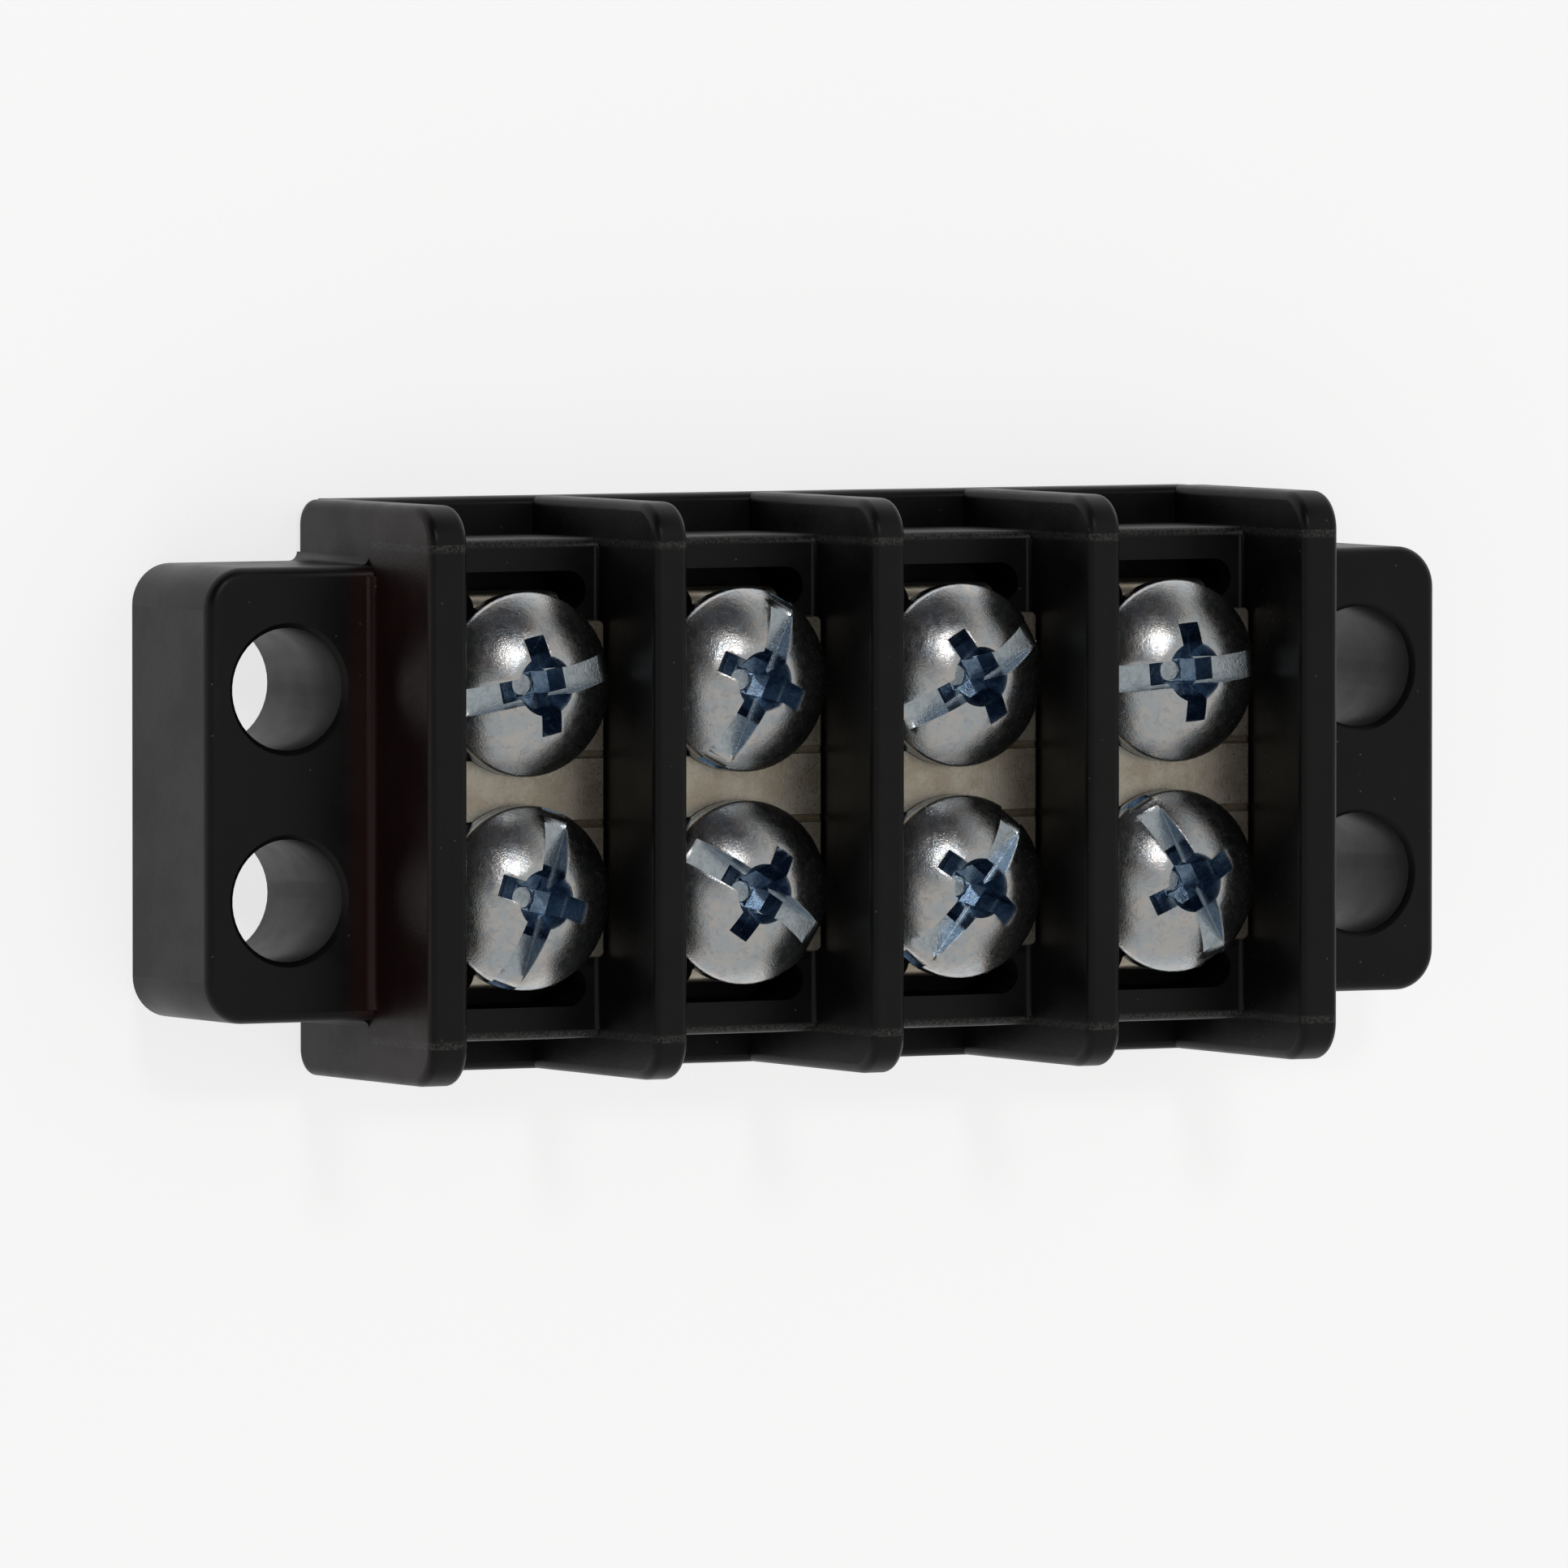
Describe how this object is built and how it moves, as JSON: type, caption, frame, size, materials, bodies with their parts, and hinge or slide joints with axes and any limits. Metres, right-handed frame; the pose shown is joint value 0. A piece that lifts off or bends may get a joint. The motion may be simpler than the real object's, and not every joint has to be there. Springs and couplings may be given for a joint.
{
  "type": "barrier terminal strip",
  "caption": "Double-row barrier terminal strip: a black moulded housing with upright barriers, plated terminal plates, domed clamping screws and ears with mounting holes.",
  "frame": {"origin": "centre of the strip on its mounting face", "axes": "+X along the strip, +Y across it towards the upper row of screws, +Z out of the mounting face towards the screw heads"},
  "size_m": [0.0542, 0.0222, 0.0112],
  "materials": {
    "moulded_plastic": "black moulding with a low sheen",
    "plated_brass": "brass strip plated with dull nickel",
    "plated_steel": "bright zinc plating with a bluish cast"
  },
  "bodies": {
    "strip": {"housing": "moulded_plastic", "terminal_plate_1": "plated_brass", "terminal_plate_2": "plated_brass", "terminal_plate_3": "plated_brass", "terminal_plate_4": "plated_brass"},
    "screw_1_upper": {"screw_1_upper": "plated_steel"},
    "screw_2_upper": {"screw_2_upper": "plated_steel"},
    "screw_3_upper": {"screw_3_upper": "plated_steel"},
    "screw_4_upper": {"screw_4_upper": "plated_steel"},
    "screw_1_lower": {"screw_1_lower": "plated_steel"},
    "screw_2_lower": {"screw_2_lower": "plated_steel"},
    "screw_3_lower": {"screw_3_lower": "plated_steel"},
    "screw_4_lower": {"screw_4_lower": "plated_steel"}
  },
  "joints": [
    {"name": "screw_1_upper_travel", "type": "slide", "parent": "strip", "child": "screw_1_upper", "axis": [0, 0, 1], "range_m": [0, 0.0048]},
    {"name": "screw_2_upper_travel", "type": "slide", "parent": "strip", "child": "screw_2_upper", "axis": [0, 0, 1], "range_m": [0, 0.0048]},
    {"name": "screw_3_upper_travel", "type": "slide", "parent": "strip", "child": "screw_3_upper", "axis": [0, 0, 1], "range_m": [0, 0.0048]},
    {"name": "screw_4_upper_travel", "type": "slide", "parent": "strip", "child": "screw_4_upper", "axis": [0, 0, 1], "range_m": [0, 0.0048]},
    {"name": "screw_1_lower_travel", "type": "slide", "parent": "strip", "child": "screw_1_lower", "axis": [0, 0, 1], "range_m": [0, 0.0048]},
    {"name": "screw_2_lower_travel", "type": "slide", "parent": "strip", "child": "screw_2_lower", "axis": [0, 0, 1], "range_m": [0, 0.0048]},
    {"name": "screw_3_lower_travel", "type": "slide", "parent": "strip", "child": "screw_3_lower", "axis": [0, 0, 1], "range_m": [0, 0.0048]},
    {"name": "screw_4_lower_travel", "type": "slide", "parent": "strip", "child": "screw_4_lower", "axis": [0, 0, 1], "range_m": [0, 0.0048]}
  ]
}
